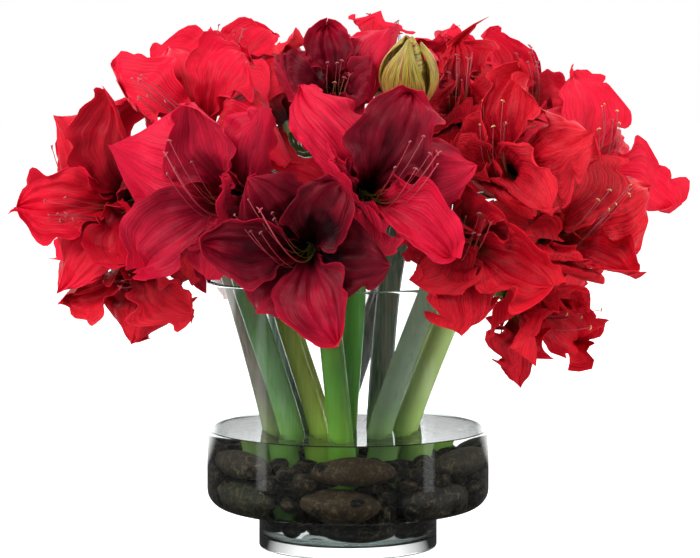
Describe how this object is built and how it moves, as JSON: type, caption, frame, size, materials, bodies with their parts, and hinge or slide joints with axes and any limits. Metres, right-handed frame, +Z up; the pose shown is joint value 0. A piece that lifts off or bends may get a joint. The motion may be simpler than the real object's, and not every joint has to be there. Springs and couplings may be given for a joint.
{
  "type": "amaryllis bouquet in a vase",
  "caption": "Dense dome of open red amaryllis blooms on thick green scapes, standing in water over river stones in a footed glass cylinder vase.",
  "frame": {"origin": "centre of the underside of the vase's foot, on the surface that it stands on", "axes": "+Z up along the vase's axis; -Y is the front, the side that the picture shows; +X to the right as seen from the front"},
  "size_m": [0.5665, 0.4953, 0.4802],
  "materials": {
    "glass": "clear blown glass, polished",
    "water": "clear still water",
    "stone": "dark river stone, water-worn and wet",
    "scape": "waxy green flower stalk, satin",
    "bloom": "silky red tepals, darker in the throat",
    "bud": "closed bud, olive green with red streaks"
  },
  "bodies": {
    "root": {"bloom_a": "bloom", "bloom_b": "bloom", "bloom_c": "bloom", "bloom_d": "bloom", "bloom_e": "bloom", "bloom_f": "bloom", "bloom_g": "bloom", "bloom_h": "bloom", "bloom_i": "bloom", "bloom_j": "bloom", "bloom_k": "bloom", "bloom_l": "bloom", "bloom_m": "bloom", "bloom_p": "bloom", "bloom_q": "bloom", "bloom_r": "bloom", "bloom_s": "bloom", "bloom_t": "bloom", "bloom_u": "bloom", "bloom_v": "bloom", "bloom_w": "bloom", "bloom_x": "bloom", "bud_y": "bud", "scape_01": "scape", "scape_02": "scape", "scape_03": "scape", "scape_04": "scape", "scape_05": "scape", "scape_06": "scape", "scape_07": "scape", "scape_08": "scape", "scape_09": "scape", "scape_10": "scape", "scape_11": "scape", "stone_foot_1": "stone", "stone_foot_2": "stone", "stone_foot_3": "stone", "stone_lower_1": "stone", "stone_lower_2": "stone", "stone_lower_3": "stone", "stone_lower_4": "stone", "stone_lower_5": "stone", "stone_lower_6": "stone", "stone_lower_7": "stone", "stone_upper_1": "stone", "stone_upper_2": "stone", "stone_upper_3": "stone", "stone_upper_4": "stone", "stone_upper_5": "stone", "stone_upper_6": "stone", "vase": "glass", "water": "water"}
  },
  "joints": []
}
